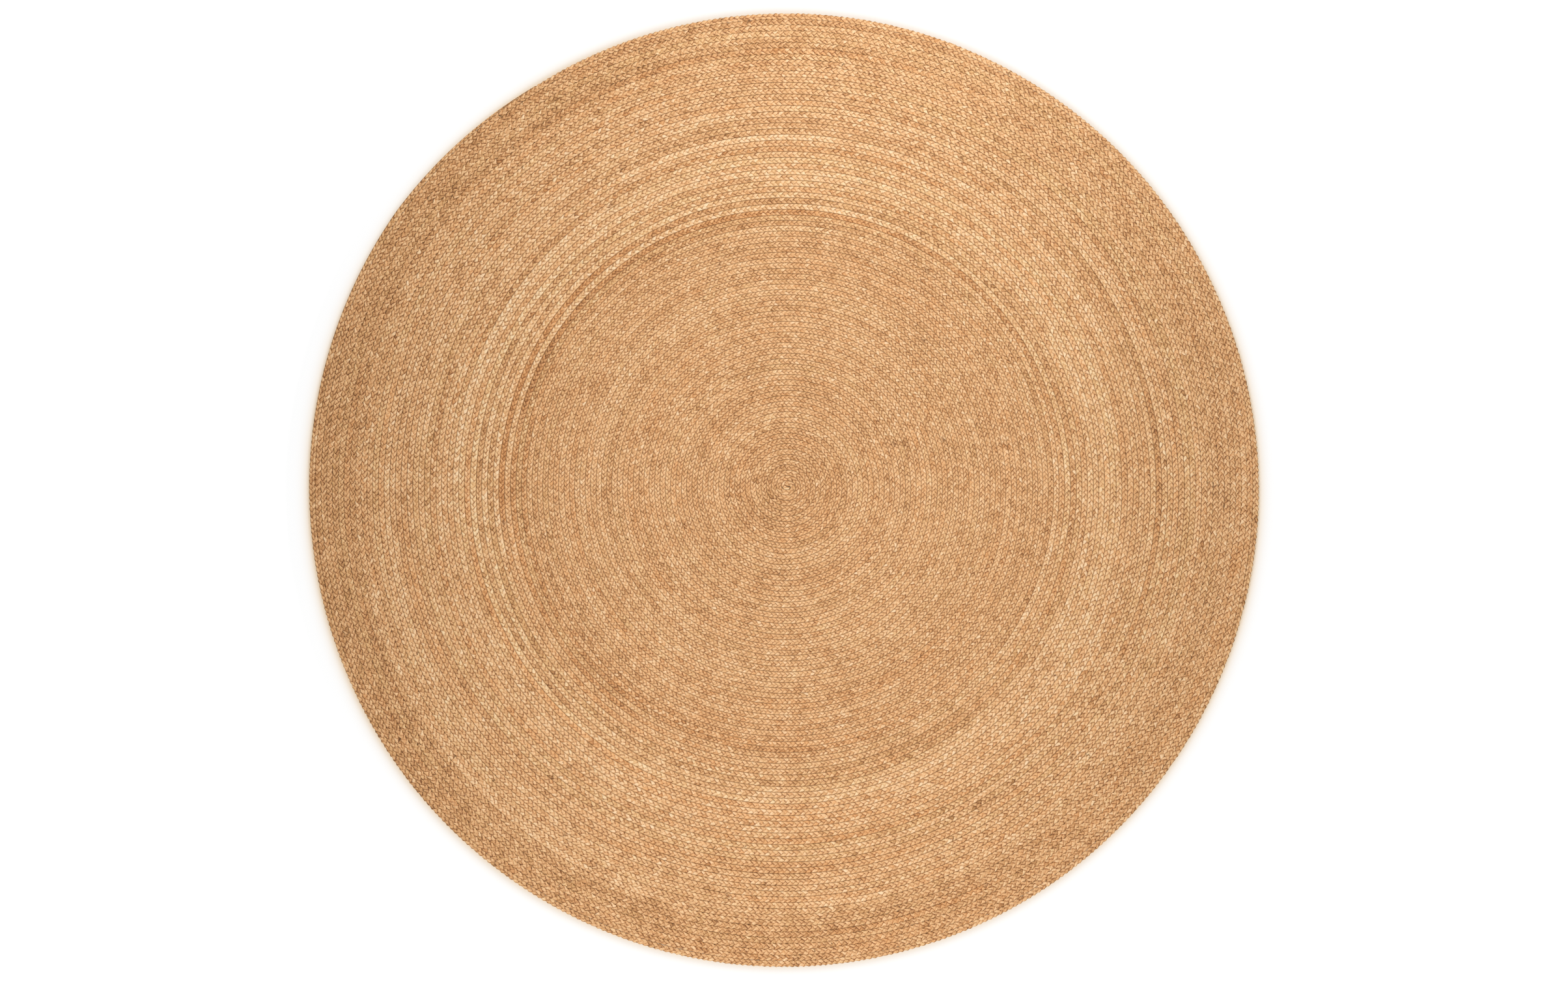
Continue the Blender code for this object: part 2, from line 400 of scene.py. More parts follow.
# Zones are lighter or darker as a whole, and in one of them light and dark turns take turns
ZONE_TURNS = (0, 5, 10, 44, 48, 52, 55, 61, 64, 68, 72, 77, 80, 83, 85)
ZONE_LIGHT = (-0.09, -0.07, -0.01, 0, -0.01, -0.015, 0.055, 0.06, 0.03, 0.01, 0.02, -0.005, -0.035, -0.01, 0.02)
BANDED_TURNS = (47, 50, 59, 62)
BAND_LIGHT = 0.05
BAND_WARMTH = -0.25
DARK_FLECKS, DARK_FLECK_LIGHT = 0.012, -0.10  # the share of the lobes, and their lightness
PALE_FLECKS, PALE_FLECK_LIGHT = 0.015, 0.09
SHADED_RIM_ANGLE = radians(195)  # painted shade: the rim is painted darker on this side
SHADED_RIM_TURNS = (79, 84)
SHADED_RIM_LIGHT = -0.085


def lobe_tones(turns):
    """Lightness and warmth for each lobe of one length, from the turns of each, in the order of the lobes."""
    count = len(turns)
    order = np.arange(count)
    lively = np.interp(turns, LIVELY_TURNS, LIVELINESS)
    light = random_source.normal(0, LOBE_LIGHT, count) + lively * slow_noise(order, *BUNDLE_LIGHT)
    warm = random_source.normal(0, LOBE_WARMTH, count) + lively * slow_noise(order, *BUNDLE_WARMTH)
    for strand in range(3):
        mine = order % 3 == strand
        light += mine * lively * slow_noise(order, *STRAND_LIGHT)
        warm += mine * lively * slow_noise(order, *STRAND_WARMTH)
    swing = np.cos(pi * turns) * np.interp(turns, BANDED_TURNS, (0, 1, 1, 0))
    flecks = random_source.random(count)
    light += BAND_LIGHT * swing
    light += DARK_FLECK_LIGHT * (flecks < DARK_FLECKS) + PALE_FLECK_LIGHT * (flecks > 1 - PALE_FLECKS)
    light += np.interp(turns, ZONE_TURNS, ZONE_LIGHT)
    # painted shade: the outer turns are painted darker on one side of the rim
    shaded_side = 0.5 + 0.5 * np.cos(plait_angle(turns) - SHADED_RIM_ANGLE)
    light += np.interp(turns, SHADED_RIM_TURNS, (0, SHADED_RIM_LIGHT)) * shaded_side
    return 0.5 + light, warm + BAND_WARMTH * swing


# %% [markdown]
# ## A length of plait as a mesh
# A flat grid is quick to make, and its rows and columns are easy to name: one column for each step along the
# plait and one row for each line round it. Each grid point is then put where it belongs on the rug, the grid's
# first and last rows meet and are merged, and the two ends are closed. The same grid makes the sewing thread.

# %% Roll a flat grid into a closed shape
MERGE_DISTANCE = 0.000002


def grid_mesh(name, columns, rows):
    """A flat grid as a mesh, and the column and row of each of its points."""
    bm = bmesh.new()
    bmesh.ops.create_grid(bm, x_segments=columns - 1, y_segments=rows - 1, size=0.5)
    bmesh.ops.translate(bm, vec=(0.5, 0.5, 0), verts=bm.verts)
    bmesh.ops.scale(bm, vec=(columns - 1, rows - 1, 1), verts=bm.verts)
    mesh = bpy.data.meshes.new(name)
    bm.to_mesh(mesh)
    bm.free()
    flat = np.empty(len(mesh.vertices) * 3, np.float32)
    mesh.vertices.foreach_get("co", flat)
    grid = np.rint(flat.reshape(-1, 3)).astype(int)
    return mesh, grid[:, 0], grid[:, 1]


def move_points(mesh, points):
    """Puts every point of a mesh where it belongs."""
    mesh.vertices.foreach_set("co", points.astype(np.float32).ravel())


def corner_points(mesh):
    """The number of the point at each corner of each face."""
    corner = np.empty(len(mesh.loops), np.int32)
    mesh.loops.foreach_get("vertex_index", corner)
    return corner


def add_uv_map(mesh, name, u, v):
    """A UV map from one u and one v for each corner of each face."""
    uv_map = mesh.uv_layers.new(name=name)
    uv_map.uv.foreach_set("vector", np.stack([u, v], -1).astype(np.float32).ravel())


def close_mesh(mesh):
    """Merges the seam of a rolled-up grid and closes its two ends."""
    bm = bmesh.new()
    bm.from_mesh(mesh)
    bmesh.ops.remove_doubles(bm, verts=bm.verts, dist=MERGE_DISTANCE)
    open_edges = [edge for edge in bm.edges if edge.is_boundary]
    bmesh.ops.holes_fill(bm, edges=open_edges, sides=ROWS)
    for face in bm.faces:
        face.smooth = True
    if sum(face.normal.z * face.calc_area() * face.calc_center_median().z for face in bm.faces) < 0:
        bmesh.ops.reverse_faces(bm, faces=bm.faces)
    bm.to_mesh(mesh)
    bm.free()
    return mesh


# %% [markdown]
# ## Fibres, creases and a map for baking
# A plait needs two UV maps. One runs along every strand, for the fibres: u goes across a lobe from crease to
# crease, and v from the lobe's start in a seam to its tip in the middle. The other is folded in rows, so that
# the long plait fills a square texture when the model is baked. The lobes keep crisp creases because the edges
# that lie in a crease are marked sharp.

# %% Make one length
ROW_ALONG_LOBE = np.array((-0.5, 0.03, 0.11, 0.50, 0.95, 0.50, 0.11, 0.03, -0.5, -0.5))
ROW_SHARE = np.array((0.0, 0.10, 0.19, 0.33, 0.5, 0.67, 0.81, 0.90, 0.95, 1.0))  # of the way round the plait
GIRTH = 0.030  # the way round the plait, in metres


def lobe_grid(column, row):
    """For a grid face: the first column of its lobe, and the lobe's number, odd in the outer row."""
    outer = row >= MIDDLE_ROW
    outer_lobe = column // STEPS_PER_CHEVRON
    inner_lobe = (column + HALF_CHEVRON) // STEPS_PER_CHEVRON
    first = np.where(outer, outer_lobe * STEPS_PER_CHEVRON, inner_lobe * STEPS_PER_CHEVRON - HALF_CHEVRON)
    return first, np.where(outer, outer_lobe * 2 + 1, inner_lobe * 2)


def mark_creases(mesh, column, row):
    """Marks as sharp the edges in the creases between lobes and in the zigzag between their tips."""
    ends = np.empty(len(mesh.edges) * 2, np.int32)
    mesh.edges.foreach_get("vertices", ends)
    ends = ends.reshape(-1, 2)
    same_column = column[ends[:, 0]] == column[ends[:, 1]]
    highest = row[ends].max(1)
    outer_step, inner_step = lobe_steps(column[ends[:, 0]])
    in_outer_crease = same_column & (highest > MIDDLE_ROW) & (outer_step == 0)
    in_inner_crease = same_column & (highest <= MIDDLE_ROW) & (inner_step == 0)
    in_zigzag = ~same_column & (highest == MIDDLE_ROW)
    sharp = mesh.attributes.new("sharp_edge", "BOOLEAN", "EDGE")
    sharp.data.foreach_set("value", in_outer_crease | in_inner_crease | in_zigzag)


def plait_mesh(name, start, end):
    """One length of plait, closed, with its sharp creases, UV maps and lobe tones."""
    points, column_turns = plait_points(start, end)
    count = len(points)
    mesh, column, row = grid_mesh(name, count, ROWS)
    move_points(mesh, points[column, row])
    corner = corner_points(mesh)
    corner_column, corner_row = column[corner].reshape(-1, 4), row[corner].reshape(-1, 4)
    face_column, face_row = corner_column.min(1), corner_row.min(1)

    lobe_start, lobe = lobe_grid(face_column, face_row)
    across = (corner_column - lobe_start[:, None]) / STEPS_PER_CHEVRON
    add_uv_map(mesh, "Strand", across, lobe[:, None] + ROW_ALONG_LOBE[corner_row])

    folds = max(1, round(np.sqrt(np.ptp(length_at(column_turns)) / GIRTH)))
    per_fold = ceil((count - 1) / folds)
    fold = face_column // per_fold
    along_fold = (corner_column - (fold * per_fold)[:, None]) / per_fold
    add_uv_map(mesh, "OFBake", along_fold, (fold[:, None] + ROW_SHARE[corner_row]) / folds)

    turns_of_lobe = np.interp(np.arange(lobe.max() + 1) * HALF_CHEVRON, np.arange(count), column_turns)
    light, warm = lobe_tones(turns_of_lobe)
    for attribute, values in (("lightness", light), ("warmth", warm)):
        layer = mesh.attributes.new(attribute, "FLOAT", "FACE")
        layer.data.foreach_set("value", values[lobe].astype(np.float32))
    mark_creases(mesh, column, row)
    return close_mesh(mesh)


# %% [markdown]
# ## Materials from nodes
# All materials are procedural. A few short helpers keep them readable: each makes one node, and takes numbers
# or the outputs of other nodes.

# %% Small helpers for node materials
def new_material(name):
    material = bpy.data.materials.new(name)
    material.use_nodes = True
    return material, material.node_tree, material.node_tree.nodes["Principled BSDF"]


def add_node(tree, kind, inputs=(), **settings):
    """A node with settings by name and inputs as (socket, value) pairs, where a value may be another socket."""
    node = tree.nodes.new(kind)
    for key, value in settings.items():
        setattr(node, key, value)
    for key, value in inputs:
        if isinstance(value, bpy.types.NodeSocket):
            tree.links.new(value, node.inputs[key])
        else:
            node.inputs[key].default_value = value
    return node


def maths(tree, operation, *values):
    """One step of arithmetic between sockets and numbers."""
    return add_node(tree, "ShaderNodeMath", enumerate(values), operation=operation).outputs[0]


def total_of(tree, first, *others):
    """The sum of several sockets."""
    for other in others:
        first = maths(tree, "ADD", first, other)
    return first


def away_from(tree, value, middle):
    """How far a value is from a middle, on either side."""
    return maths(tree, "ABSOLUTE", maths(tree, "SUBTRACT", value, middle))


def remap(tree, value, old, new=(0.0, 1.0), smooth=False):
    """Turns the old range of a value into a new one, and stays inside it."""
    kind = "SMOOTHSTEP" if smooth else "LINEAR"
    pairs = enumerate((value, *old, *new))
    return add_node(tree, "ShaderNodeMapRange", pairs, interpolation_type=kind).outputs[0]


def noise(tree, place, scale, detail, roughness=0.5, dimensions="3D"):
    """Cloudy noise from 0 to 1, most of it near a half."""
    pairs = (("Vector", place), ("Scale", scale), ("Detail", detail), ("Roughness", roughness))
    return add_node(tree, "ShaderNodeTexNoise", pairs, noise_dimensions=dimensions).outputs["Fac"]


def centred(tree, value, strength):
    """Noise that adds as much as it takes away."""
    return maths(tree, "MULTIPLY", maths(tree, "SUBTRACT", value, 0.5), strength)


def blended(tree, mode, amount, one, other):
    """One colour laid over another."""
    pairs = ((0, amount), (6, one), (7, other))
    return add_node(tree, "ShaderNodeMix", pairs, data_type="RGBA", blend_type=mode).outputs[2]


def bumped(tree, shader, height, strength, distance):
    """Small bumps on a shader's surface."""
    pairs = (("Height", height), ("Strength", strength), ("Distance", distance))
    tree.links.new(add_node(tree, "ShaderNodeBump", pairs).outputs[0], shader.inputs["Normal"])


def object_place(tree):
    """The place of a point on the object, in metres."""
    return add_node(tree, "ShaderNodeTexCoord").outputs["Object"]


def reach_of(tree, place):
    """The distance of a place from the origin."""
    return add_node(tree, "ShaderNodeVectorMath", [(0, place)], operation="LENGTH").outputs["Value"]


# %% [markdown]
# ## Jute
# Jute strands are flat bundles of pale, silky fibres. Close up there are fine streaks along each strand; a step
# back there is a soft gloss on the lobes and a brown shadow wherever two of them meet. The material has the same
# layers: the lobe's own tone, thin streaks that follow the strand in colour and in bump, dust and matting that
# don't, painted highlights for part of the gloss, and painted shade in creases and seams. First come the layers
# that make a point lighter or darker, the painted highlights among them.

# %% How light a point of jute is
FIBRE_STRETCH = (15.0, 1.7, 0.0)  # the noise is fine across a lobe and long along it
FIBRE_STREAKS = 0.34
STAINS = (9.0, 2.0, 0.10)  # a noise's scale, detail and strength
BLOTCHES = (42.0, 2.0, 0.22)
MATTING = (330.0, 3.0, 0.64)
SPECKS = (190.0, 1.0)
SPECK_RANGE = (0.68, 0.80)
SPECK_DARK = 0.34
# painted highlights: crown, belly and glint paint a lobe lighter where light would catch it
CROWN_RANGE, CROWN_HIGHLIGHT = (0.05, 0.42), (0.07, -0.06)  # a lobe is lightest along its crown
BELLY, BELLY_RANGE, BELLY_HIGHLIGHT = 0.45, (0.1, 0.5), (0.04, -0.06)  # and halfway from seam to tip
GLINT, GLINT_RANGE, GLINT_HIGHLIGHT = 0.72, (0.02, 0.12), (0.22, 0.0)  # and in a line beside its crown


def lobe_sockets(tree):
    """Where a point is on the rug and on its lobe, the tone of the lobe, and the fibres' noise."""
    strand = add_node(tree, "ShaderNodeUVMap", uv_map="Strand").outputs[0]
    split = add_node(tree, "ShaderNodeSeparateXYZ", [(0, strand)])
    stretched = add_node(tree, "ShaderNodeVectorMath", [(0, strand), (1, FIBRE_STRETCH)], operation="MULTIPLY")
    return SimpleNamespace(
        place=object_place(tree),
        across=split.outputs["X"],
        from_crown=away_from(tree, split.outputs["X"], 0.5),
        along=maths(tree, "FRACT", split.outputs["Y"]),
        lightness=add_node(tree, "ShaderNodeAttribute", attribute_name="lightness").outputs["Fac"],
        warmth=add_node(tree, "ShaderNodeAttribute", attribute_name="warmth").outputs["Fac"],
        fibres=noise(tree, stretched.outputs[0], 1.0, 3.0, roughness=0.6, dimensions="2D"))


def grain(tree, place, scale, detail, strength):
    """Noise over the whole rug that makes some places lighter and some darker."""
    return centred(tree, noise(tree, place, scale, detail), strength)


def jute_lightness(tree, lobe):
    """All layers of lightness in one number, painted highlights included, where 0.5 is plain tan."""
    streaks = centred(tree, lobe.fibres, FIBRE_STREAKS)
    # crown, belly and glint are painted highlights on each lobe
    crown_highlight = remap(tree, lobe.from_crown, CROWN_RANGE, CROWN_HIGHLIGHT)
    belly_highlight = remap(tree, away_from(tree, lobe.along, BELLY), BELLY_RANGE, BELLY_HIGHLIGHT)
    glint = remap(tree, away_from(tree, lobe.across, GLINT), GLINT_RANGE, GLINT_HIGHLIGHT)
    glint = maths(tree, "MULTIPLY", glint, lobe.fibres)
    layers = (lobe.lightness, streaks, crown_highlight, belly_highlight, glint)
    grains = [grain(tree, lobe.place, *kind) for kind in (STAINS, BLOTCHES, MATTING)]
    specks = remap(tree, noise(tree, lobe.place, *SPECKS), SPECK_RANGE, (0.0, SPECK_DARK))
    return maths(tree, "SUBTRACT", total_of(tree, *layers, *grains), specks)


# %% [markdown]
# ## The hue of jute
# Dark jute is brown, pale jute is cream, and most of it is a tan between the two. So a ramp of five colours
# turns lightness into a colour. Warm lobes are then tinted orange and cool ones a trace of olive.

# %% The colour of a point of jute
CREAM = (0.912, 0.664, 0.412, 1)
PALE = (0.818, 0.501, 0.251, 1)
TAN = (0.678, 0.367, 0.160, 1)
BROWN = (0.498, 0.241, 0.0885, 1)
UMBER = (0.27, 0.115, 0.038, 1)
RAMP_STOPS = ((0.10, UMBER), (0.30, BROWN), (0.47, TAN), (0.66, PALE), (0.88, CREAM))
ORANGE_TINT, ORANGE_RANGE = (0.98, 0.875, 0.76, 1), (0.0, 0.7)
OLIVE_TINT, OLIVE_RANGE = (0.98, 1.0, 0.95, 1), (-0.1, -0.7)
TINGES = (31.0, 3.0, 1.3)  # of warmth, within a lobe


def jute_colour(tree, lobe, lightness):
    """The clean colour, before creases and seams darken it."""
    ramp = add_node(tree, "ShaderNodeValToRGB", [(0, lightness)])
    for place, colour in RAMP_STOPS[1:-1]:
        ramp.color_ramp.elements.new(place)
    for element, (place, colour) in zip(ramp.color_ramp.elements, RAMP_STOPS):
        element.position, element.color = place, colour
    warmth = maths(tree, "ADD", lobe.warmth, grain(tree, lobe.place, *TINGES))
    colour = ramp.outputs[0]
    for tint, old_range in ((ORANGE_TINT, ORANGE_RANGE), (OLIVE_TINT, OLIVE_RANGE)):
        colour = blended(tree, "MULTIPLY", remap(tree, warmth, old_range), colour, tint)
    return colour


# %% [markdown]
# ## Painted shade where strands meet
# Little light gets down between the strands, so the colour there is painted darker as painted shade. It is
# strongest in the creases between lobes, at the tips that dive under, and in the seams. It isn't even: in some
# spots the painted shade nearly fades from the creases. Seams are lighter near the rim, where the plait is loose
# and open.

# %% How much painted shade a point of jute gets
# the colour of the painted shade in creases, tips and seams
PAINTED_SHADE_BROWN = (0.30, 0.155, 0.07, 1)
CREASE_RANGE, CREASE_SHADE = (0.30, 0.5), (0.0, 0.56)  # by the distance from a lobe's crown
INWARD_RANGE, INWARD_SHADE = (0.05, 0.45), (0.65, 1.0)  # a crease is less dark near the seam
TIP_RANGE, TIP_SHADE = (0.72, 0.95), (0.0, 0.68)  # by the place along a lobe
SEAM_SHADE_RANGE = (0.14, 0.05)
SEAM_SHADE_RADII, SEAM_SHADES = (0.80, 0.89), (0.50, 0.10)
# noise that makes the painted shade stronger in some spots and weaker in others
SHADE_PATCHES = (170.0, 1.0)
SHADE_PATCH_RANGE, SHADE_PATCH_STRENGTH = (0.36, 0.62), (0.1, 1.35)


def jute_shade(tree, lobe):
    """How much of the painted shade's colour lies over a point, from 0 to 1."""
    patchiness = remap(tree, noise(tree, lobe.place, *SHADE_PATCHES), SHADE_PATCH_RANGE, SHADE_PATCH_STRENGTH)
    crease = remap(tree, lobe.from_crown, CREASE_RANGE, CREASE_SHADE, smooth=True)
    crease = maths(tree, "MULTIPLY", crease, patchiness)
    crease = maths(tree, "MULTIPLY", crease, remap(tree, lobe.along, INWARD_RANGE, INWARD_SHADE))
    tip = maths(tree, "MULTIPLY", remap(tree, lobe.along, TIP_RANGE, TIP_SHADE, smooth=True), patchiness)
    seam_strength = remap(tree, reach_of(tree, lobe.place), SEAM_SHADE_RADII, SEAM_SHADES)
    seam = remap(tree, lobe.along, SEAM_SHADE_RANGE, (0.0, seam_strength), smooth=True)
    return maths(tree, "MAXIMUM", maths(tree, "MAXIMUM", crease, tip), seam)


# %% [markdown]
# ## The jute put together
# The fibres also give the surface its gloss and its fine bumps. Jute is silky, so it has a little sheen, which
# shows where the rug is seen at a low angle.

# %% The jute of the plait
FIBRE_RANGE, FIBRE_ROUGHNESS = (0.3, 0.7), (0.5, 0.72)
FIBRE_BUMP = (0.35, 0.0004)  # its strength and its height in metres
SHEEN_TINT = (1.0, 0.86, 0.66, 1)


def jute_material(name):
    material, tree, shader = new_material(name)
    lobe = lobe_sockets(tree)
    colour = jute_colour(tree, lobe, jute_lightness(tree, lobe))
    # painted shade laid over the jute's colour
    colour = blended(tree, "MULTIPLY", jute_shade(tree, lobe), colour, PAINTED_SHADE_BROWN)
    tree.links.new(colour, shader.inputs["Base Color"])
    tree.links.new(remap(tree, lobe.fibres, FIBRE_RANGE, FIBRE_ROUGHNESS), shader.inputs["Roughness"])
    bumped(tree, shader, lobe.fibres, *FIBRE_BUMP)
    shader.inputs["Specular IOR Level"].default_value = 0.3
    shader.inputs["Sheen Weight"].default_value = 0.18
    shader.inputs["Sheen Roughness"].default_value = 0.45
    shader.inputs["Sheen Tint"].default_value = SHEEN_TINT
    return material


jute = jute_material("plaited jute")
print("nodes in the jute:", len(jute.node_tree.nodes))

# %% [markdown]
# ## Sewing thread
# The turns are sewn together with a thin waxed thread that sinks between them, and a few overhand stitches of
# the same thread bind every joint of the plait. It is twisted from plies, so the material has slanted bands.

# %% The sewing thread's material
DARK_THREAD = (0.34, 0.19, 0.088, 1)
LIGHT_THREAD = (0.50, 0.295, 0.145, 1)
THREAD_ROUGHNESS = (0.75, 0.55)
THREAD_BUMP = (0.4, 0.0002)


def thread_material(name):
    material, tree, shader = new_material(name)
    place = add_node(tree, "ShaderNodeUVMap", uv_map="Thread").outputs[0]
    pairs = (("Vector", place), ("Scale", 1.0), ("Distortion", 1.2), ("Detail", 2.0))
    wave = add_node(tree, "ShaderNodeTexWave", pairs, wave_type="BANDS", bands_direction="DIAGONAL")
    twist = wave.outputs["Fac"]
    tree.links.new(blended(tree, "MIX", twist, DARK_THREAD, LIGHT_THREAD), shader.inputs["Base Color"])
    tree.links.new(remap(tree, twist, (0.0, 1.0), THREAD_ROUGHNESS), shader.inputs["Roughness"])
    bumped(tree, shader, twist, *THREAD_BUMP)
    shader.inputs["Specular IOR Level"].default_value = 0.3
    return material


waxed_thread = thread_material("waxed sewing thread")
print("nodes in the thread:", len(waxed_thread.node_tree.nodes))

# %% [markdown]
# ## Lay the plait
# Each length stands for its ring of the imported model. Its flat size is worked out too, the band that it was
# before it was wound: as wide as the plait and as long as the length.

# %% Lay all sixteen lengths
def show(name, mesh, material):
    """Puts a mesh on show under a name, with its material."""
    thing = bpy.data.objects.new(name, mesh)
    bpy.context.scene.collection.objects.link(thing)
    mesh.materials.append(material)
    return thing


def face_count(pieces):
    return sum(len(piece.data.polygons) for piece in pieces)


lengths = []
flat_sizes = []
for number in range(1, LENGTH_COUNT + 1):
    start = joint_turns[number - 1] if number > 1 else START_TURNS
    end = joint_turns[number]
    name = f"plait_{number:02d}"
    piece = show(name, plait_mesh(name, start, end), jute)
    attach(piece, "root")
    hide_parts(f"braid_length_{number:02d}")
    width = INNER_BRAID_WIDTH if end <= INNER_TURNS else OUTER_BRAID_WIDTH
    lengths.append(piece)
    flat_sizes.append((width, float(length_at(end) - length_at(start))))
print("faces of plait:", face_count(lengths))

# %% [markdown]
# ## Thread as a tube
# A thread is a small ring of points that is carried along a path and stays square to it. The ring is the grid's
# one direction and the path is the other, so the helpers for the plait make the thread too.

# %% A tube along a path
def unit(vectors):
    """The same directions, one metre long."""
    return vectors / np.linalg.norm(vectors, axis=1)[:, None]


def tube_mesh(name, path, radius, sides):
    """A closed tube along a path of points, with a UV map that runs along it."""
    mesh, column, row = grid_mesh(name, len(path), sides + 1)
    ahead = unit(np.gradient(path, axis=0))
    beside = unit(np.cross(ahead, (0, 0, 1)))
    above = np.cross(beside, ahead)
    turn = (2 * pi * (row % sides) / sides + pi / 2)[:, None]
    ring = np.cos(turn) * beside[column] + np.sin(turn) * above[column]
    move_points(mesh, path[column] + radius * ring)
    steps = np.concatenate([[0], np.cumsum(np.linalg.norm(np.diff(path, axis=0), axis=1))])
    corner = corner_points(mesh)
    add_uv_map(mesh, "Thread", steps[column[corner]] / (4 * radius), row[corner] / sides)
    return close_mesh(mesh)


# %% [markdown]
# ## The thread in the seams
# The thread follows every seam from the centre to the rim, a little under the top of the plait. A three-sided
# tube is enough, since most of it is hidden between the turns. Its steps get longer further out, where the seam
# is less curved.

# %% Sew the seams
THREAD_RADIUS = 0.00045
THREAD_SIDES = 3
THREAD_HEIGHTS = (0.0066, 0.0066, 0.0036)  # by SEAM_RADII
THREAD_START = 0.35  # turns from the centre
THREAD_SAG = 0.00006  # how far a straight step of the thread may leave the curved seam
THREAD_SETBACK = 0.001  # of a turn, that the thread stops before each joint


def thread_path(start, end):
    """The points of the thread in the seam on the plait's inner side."""
    turns = [max(start, THREAD_START)]
    while turns[-1] < end:
        radius = seam_radius(turns[-1])
        step = np.sqrt(8 * radius * THREAD_SAG)
        turns.append(min(end, turns[-1] + step / (2 * pi * radius)))
    turns = np.array(turns)
    x, y = plait_place(turns, -1.0)
    z = np.interp(seam_radius(turns), SEAM_RADII, THREAD_HEIGHTS)
    return np.stack([x, y, z + swell(x, y)], 1)


threads = []
for number in range(1, LENGTH_COUNT + 1):
    name = f"sewing_thread_{number:02d}"
    path = thread_path(joint_turns[number - 1], joint_turns[number] - THREAD_SETBACK)
    piece = show(name, tube_mesh(name, path, THREAD_RADIUS, THREAD_SIDES), waxed_thread)
    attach(piece, "root")
    if number < LENGTH_COUNT:
        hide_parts(f"seam_thread_{number:02d}")
    threads.append(piece)
print("faces of thread:", face_count(threads))

# %% [markdown]
# ## Stitches over the joints
# Where one length ends and the next starts, five short overhand stitches hold them. Each is an arc of thread
# that comes up beside the middle of the plait, crosses it on a slant and goes down again on the other side.

# %% Bind the joints and the tail
STITCH_COUNT = 5
STITCH_SPACING = 0.0026
STITCH_SCATTER = 0.0002
STITCH_HEIGHT = 0.0086
STITCH_DROP = 0.0022
STITCH_SLANT = 0.0014
STITCH_REACH = 0.5  # to each side of the middle, of half the plait's width
STITCH_RADIUS = THREAD_RADIUS * 0.8
STITCH_SIDES = 5
STITCH_POINTS = 9
TAIL_STITCH_TURNS = 0.012  # before the end of the last length


def stitches_mesh(name, joint):
    """All stitches over one joint, as one mesh."""
    bm = bmesh.new()
    share = np.linspace(-1, 1, STITCH_POINTS)
    for stitch in range(STITCH_COUNT):
        offset = (stitch - (STITCH_COUNT - 1) / 2) * STITCH_SPACING + random_source.normal(0, STITCH_SCATTER)
        turns = turns_at(length_at(joint) + offset + share * STITCH_SLANT / 2)
        x, y = plait_place(turns, share * STITCH_REACH)
        z = STITCH_HEIGHT - STITCH_DROP * share ** 4 + swell(x, y)
        loop = tube_mesh("stitch", np.stack([x, y, z], 1), STITCH_RADIUS, STITCH_SIDES)
        bm.from_mesh(loop)
        bpy.data.meshes.remove(loop)
    mesh = bpy.data.meshes.new(name)
    bm.to_mesh(mesh)
    bm.free()
    return mesh


stitch_pieces = []
for number in range(1, LENGTH_COUNT + 1):
    name = f"whip_stitches_{number:02d}"
    last = number == LENGTH_COUNT
    joint = TURNS - TAIL_STITCH_TURNS if last else joint_turns[number]
    piece = show(name, stitches_mesh(name, joint), waxed_thread)
    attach(piece, "root")
    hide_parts("tail_stitches" if last else f"joint_stitches_{number:02d}")
    stitch_pieces.append(piece)
print("faces of stitches:", face_count(stitch_pieces))

# %% [markdown]
# ## The lengths laid flat
# A flat plait is a band of cloth, so each length was a flat band before it was wound; its flat size is printed
# here. No simulation is needed: a rug at rest on a flat floor has nowhere to fall.

for piece, (width, run), thread, stitches in zip(lengths, flat_sizes, threads, stitch_pieces):
    print(piece.name, "flat:", width, "by", round(run, 3), "m")

# %% [markdown]
# ## Studio floor
# The rug lies on a white floor that gives off light of its own, so it stays white from end to end. Beside the
# rim the floor's glow has a painted halo: a faint painted shadow and the warm light that the rug would throw on
# the floor, mixed in here by the distance from the middle. Under the rug the floor glows a dim brown, painted
# shade that looks like jute in shadow, or its light would shine up through the seams.

# %% Make the floor
FLOOR_SIZE = 20
FLOOR_GREY = (0.25, 0.25, 0.25, 1)
FLOOR_WHITE = (0.755, 0.755, 0.755, 1)
FAR_WHITE = (0.92, 0.92, 0.92, 1)
# painted halo: a faint shadow and warm reflected light painted on the floor beside the rim
PAINTED_HALO = (0.63, 0.50, 0.35, 1)
# painted shade: the floor under the rug glows dim brown
PAINTED_SHADE_UNDER_RUG = (0.17, 0.09, 0.04, 1)
PAINTED_HALO_RADII, PAINTED_HALO_FALLOFF = (1.05, 1.0), 4.0
FAR_RADII = (1.045, 1.10)
PAINTED_SHADE_RADII = (0.9875, 0.989)

bm = bmesh.new()
bmesh.ops.create_grid(bm, x_segments=1, y_segments=1, size=FLOOR_SIZE)
floor_mesh = bpy.data.meshes.new("studio_floor")
bm.to_mesh(floor_mesh)
bm.free()

floor_material, tree, shader = new_material("white studio floor")
reach = reach_of(tree, object_place(tree))
# painted halo of shadow and warm reflected light beside the rim
painted_halo_mask = maths(tree, "POWER", remap(tree, reach, PAINTED_HALO_RADII), PAINTED_HALO_FALLOFF)
white = blended(tree, "MIX", remap(tree, reach, FAR_RADII), FLOOR_WHITE, FAR_WHITE)
white = blended(tree, "MIX", painted_halo_mask, white, PAINTED_HALO)
# painted shade: under the rug the floor glows dim brown instead of white
glow = blended(tree, "MIX", remap(tree, reach, PAINTED_SHADE_RADII), PAINTED_SHADE_UNDER_RUG, white)
tree.links.new(glow, shader.inputs["Emission Color"])
shader.inputs["Emission Strength"].default_value = 1.0
shader.inputs["Base Color"].default_value = FLOOR_GREY
shader.inputs["Roughness"].default_value = 0.9

floor = show("studio_floor", floor_mesh, floor_material)
print("floor:", floor.dimensions[:])

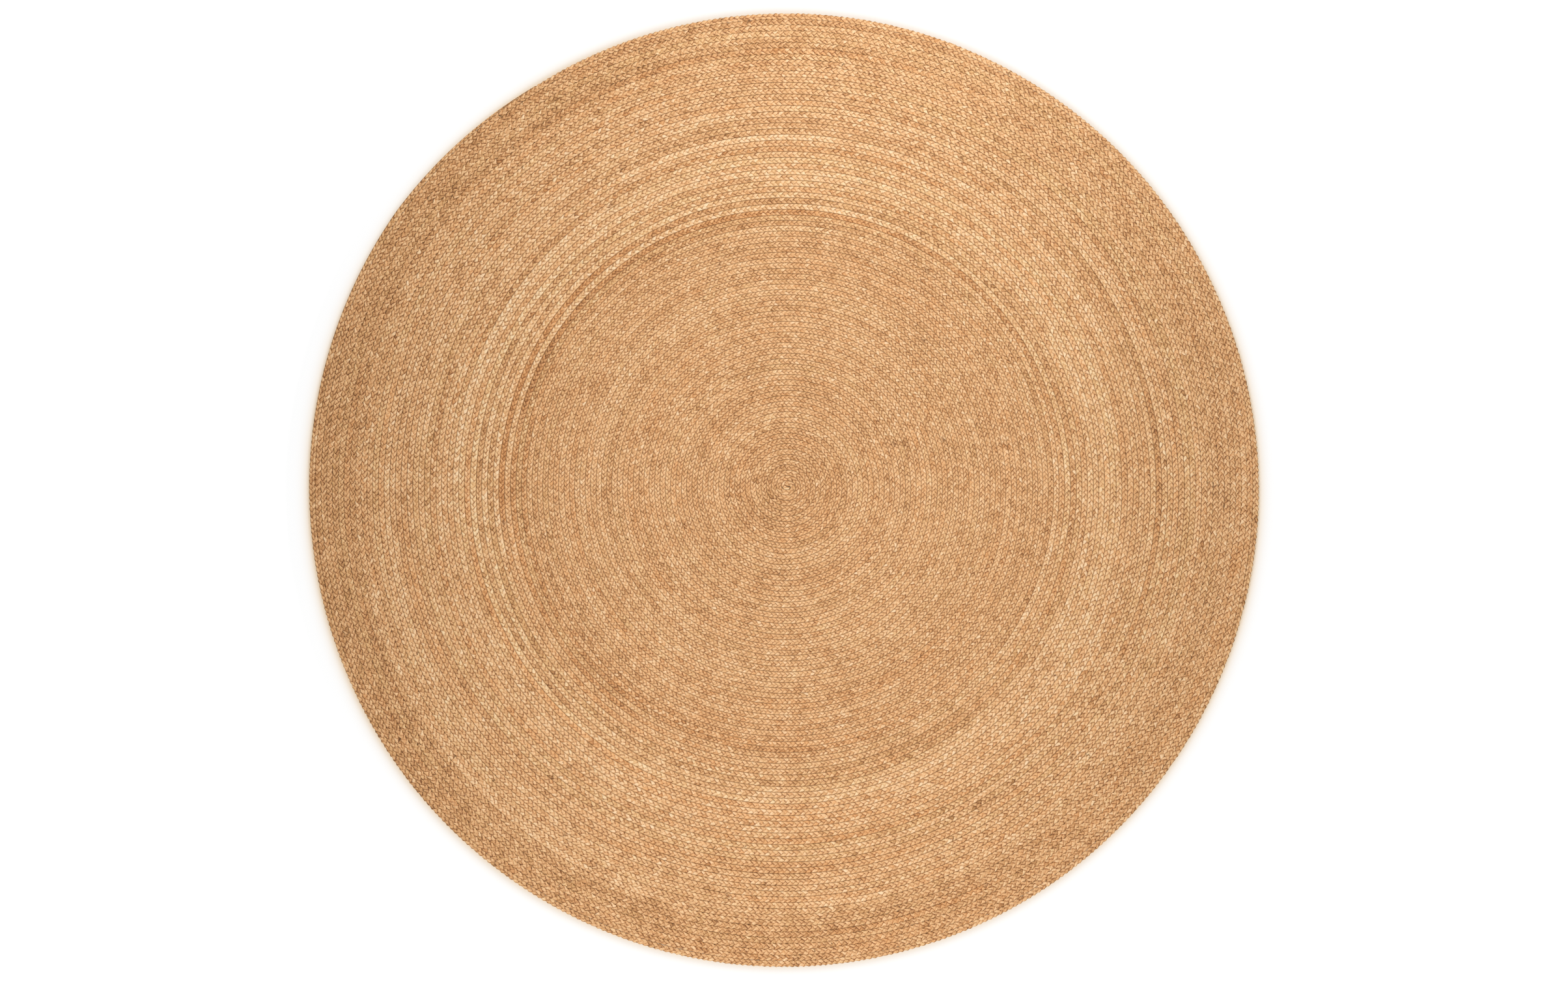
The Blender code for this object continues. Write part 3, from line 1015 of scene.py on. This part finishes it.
# %% [markdown]
# ## Light
# Two large, soft square lights stand over opposite edges of the rug, one behind it and one, higher up, in
# front. Lobes that lean one way catch the first and lobes that lean the other way the second, so every chevron
# shows its shape. A white surround fills the shadows. The camera sees it brighter than it shines, because a
# surround as bright as it looks would wash the lobes out.

# %% Lights
SURROUND_SHINE = 0.25
SURROUND_LOOK = 0.9

world = bpy.data.worlds.new("white surround")
bpy.context.scene.world = world
world.use_nodes = True
background = world.node_tree.nodes["Background"]
background.inputs["Color"].default_value = (1, 1, 1, 1)
seen = add_node(world.node_tree, "ShaderNodeLightPath").outputs["Is Camera Ray"]
strength = remap(world.node_tree, seen, (0.0, 1.0), (SURROUND_SHINE, SURROUND_LOOK))
world.node_tree.links.new(strength, background.inputs["Strength"])


def soft_light(name, place, size, power):
    """A square light that faces the middle of the rug."""
    lamp = bpy.data.lights.new(name, "AREA")
    lamp.shape = "SQUARE"
    lamp.size = size
    lamp.energy = power
    thing = bpy.data.objects.new(name, lamp)
    thing.location = place
    thing.rotation_euler = (-Vector(place)).to_track_quat("-Z", "Y").to_euler()
    thing.visible_camera = False
    bpy.context.scene.collection.objects.link(thing)
    print(name, "of", power, "W at", place)


soft_light("key_light", (0.26, 1.48, 1.6), 1.3, 30)
soft_light("fill_light", (0.0, -1.6, 2.2), 1.3, 46)

# %% [markdown]
# ## Camera
# The camera looks straight down through a long lens from far away, so the rim isn't seen from the side. Its
# height follows from how much floor the frame has to hold.

# %% Camera
FRAME_WIDTH = 3.2986  # metres of floor across the frame
LENS = 100
SENSOR = 36
RUG_ABOVE_MIDDLE = 0.0072
FARTHEST = 100

camera_data = bpy.data.cameras.new("camera")
camera_data.lens = LENS
camera_data.sensor_width = SENSOR
camera_data.clip_end = FARTHEST
camera = bpy.data.objects.new("camera", camera_data)
camera.location = (0, -RUG_ABOVE_MIDDLE, FRAME_WIDTH * LENS / SENSOR)
bpy.context.scene.collection.objects.link(camera)
bpy.context.scene.camera = camera
bpy.context.scene.view_settings.view_transform = "Standard"
print("camera height:", round(camera.location.z, 3), "m")
